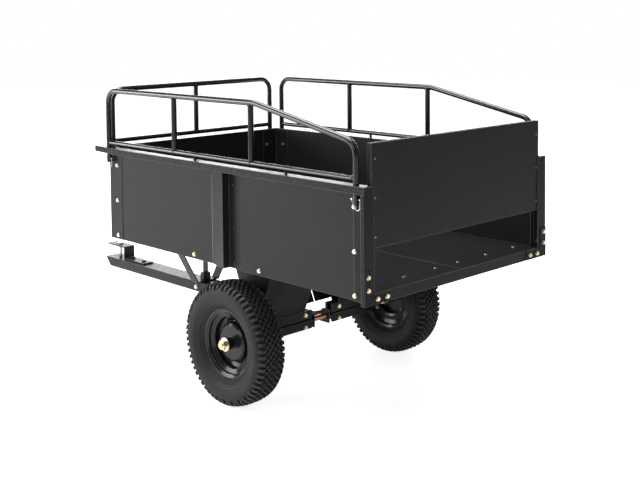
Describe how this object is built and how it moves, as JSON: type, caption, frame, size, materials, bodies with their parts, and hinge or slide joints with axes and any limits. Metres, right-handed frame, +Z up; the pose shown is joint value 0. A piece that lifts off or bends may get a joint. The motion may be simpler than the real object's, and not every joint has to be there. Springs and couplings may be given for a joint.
{
  "type": "tow behind dump cart",
  "caption": "Two-wheeled steel garden cart with a rear lift tailgate, removable tube rails, tilting bed and a pin hitch tongue",
  "frame": {"origin": "on the ground under the middle of the overall length and width", "axes": "+X forward along the tongue, +Y to the cart's left, +Z up; wheels stand on z = 0"},
  "size_m": [1.958, 0.888, 1.0095],
  "materials": {
    "sheet": "satin black powder coat",
    "frame_steel": "satin black powder coat",
    "tube": "semi-gloss black powder coat",
    "rim_steel": "semi-gloss black paint",
    "tyre": "turf tread rubber",
    "rubber": "matt rubber",
    "black_oxide": "black oxide steel",
    "bushing": "moulded black nylon",
    "yellow_zinc": "yellow zinc plated steel",
    "bright_zinc": "bright zinc plated steel"
  },
  "bodies": {
    "tongue": {"tongue_channel": "frame_steel", "hitch_strap": "frame_steel", "hitch_bolts": "yellow_zinc", "tongue_cross_bolt": "yellow_zinc"},
    "hitch_pin_body": {"hitch_pin": "bright_zinc"},
    "latch": {"latch_bar": "bright_zinc"},
    "tailgate": {"tailgate_panel": "sheet", "tailgate_stiffener": "sheet", "tailgate_screws": "yellow_zinc"},
    "wheel_left": {"wheel_rim_left": "rim_steel", "tyre_left": "tyre", "hub_bushings_left": "bushing", "valve_stem_left": "rubber"},
    "wheel_right": {"wheel_rim_right": "rim_steel", "tyre_right": "tyre", "hub_bushings_right": "bushing", "valve_stem_right": "rubber"},
    "lock_pin_left_front_body": {"lock_pin_left_front": "bright_zinc"},
    "lock_pin_left_rear_body": {"lock_pin_left_rear": "bright_zinc"},
    "lock_pin_right_front_body": {"lock_pin_right_front": "bright_zinc"},
    "lock_pin_right_rear_body": {"lock_pin_right_rear": "bright_zinc"},
    "lock_pin_front_left_body": {"lock_pin_front_left": "bright_zinc"},
    "lock_pin_front_right_body": {"lock_pin_front_right": "bright_zinc"},
    "bed": {"floor_panel_left": "sheet", "floor_panel_right": "sheet", "side_panel_front_left": "sheet", "side_panel_rear_left": "sheet", "side_panel_front_right": "sheet", "side_panel_rear_right": "sheet", "front_panel": "sheet", "corner_angles": "sheet", "side_rim_left": "frame_steel", "side_rim_right": "frame_steel", "front_rim": "frame_steel", "rear_post_left": "frame_steel", "rear_post_right": "frame_steel", "tailgate_guides": "frame_steel", "rear_cross_rail": "frame_steel", "corner_gussets": "frame_steel", "axle_bracket_left": "frame_steel", "axle_bracket_right": "frame_steel", "axle_carriers": "frame_steel", "axle_clamp_bars": "frame_steel", "front_support": "frame_steel", "side_hoop_left": "tube", "side_infill_left": "tube", "side_hoop_right": "tube", "side_infill_right": "tube", "front_hoop": "tube", "front_infill": "tube", "seam_bolts": "black_oxide", "latch_guide": "bushing", "panel_bolts": "yellow_zinc", "underbody_bolts": "yellow_zinc", "clamp_bolts": "yellow_zinc", "floor_screws": "yellow_zinc", "guide_rivets": "yellow_zinc", "axle_nuts": "yellow_zinc", "axle_rod": "yellow_zinc", "axle_collars": "yellow_zinc"}
  },
  "joints": [
    {"name": "bed_dump", "type": "hinge", "parent": "tongue", "child": "bed", "pos_m": [-0.328, 0, 0.203], "axis": [0, -1, 0], "range_deg": [0, 36]},
    {"name": "wheel_left_spin", "type": "hinge", "parent": "bed", "child": "wheel_left", "pos_m": [-0.328, 0.385, 0.203], "axis": [0, 1, 0], "continuous": true},
    {"name": "wheel_right_spin", "type": "hinge", "parent": "bed", "child": "wheel_right", "pos_m": [-0.328, -0.385, 0.203], "axis": [0, 1, 0], "continuous": true},
    {"name": "tailgate_slide", "type": "slide", "parent": "bed", "child": "tailgate", "axis": [0, 0, 1], "range_m": [-0.126, 0.17]},
    {"name": "latch_bar_lift", "type": "slide", "parent": "bed", "child": "latch", "axis": [0, 0, 1], "range_m": [0, 0.022]},
    {"name": "hitch_pin_lift", "type": "slide", "parent": "tongue", "child": "hitch_pin_body", "axis": [0, 0, 1], "range_m": [0, 0.1]},
    {"name": "lock_pin_left_front_swing", "type": "hinge", "parent": "bed", "child": "lock_pin_left_front_body", "pos_m": [0.327, 0.425, 0.752], "axis": [1, 0, 0], "range_deg": [0, 90]},
    {"name": "lock_pin_left_rear_swing", "type": "hinge", "parent": "bed", "child": "lock_pin_left_rear_body", "pos_m": [-0.928, 0.425, 0.752], "axis": [1, 0, 0], "range_deg": [0, 90]},
    {"name": "lock_pin_right_front_swing", "type": "hinge", "parent": "bed", "child": "lock_pin_right_front_body", "pos_m": [0.327, -0.425, 0.752], "axis": [-1, 0, 0], "range_deg": [0, 90]},
    {"name": "lock_pin_right_rear_swing", "type": "hinge", "parent": "bed", "child": "lock_pin_right_rear_body", "pos_m": [-0.928, -0.425, 0.752], "axis": [-1, 0, 0], "range_deg": [0, 90]},
    {"name": "lock_pin_front_left_swing", "type": "hinge", "parent": "bed", "child": "lock_pin_front_left_body", "pos_m": [0.36, 0.387, 0.752], "axis": [0, -1, 0], "range_deg": [0, 90]},
    {"name": "lock_pin_front_right_swing", "type": "hinge", "parent": "bed", "child": "lock_pin_front_right_body", "pos_m": [0.36, -0.387, 0.752], "axis": [0, -1, 0], "range_deg": [0, 90]}
  ]
}
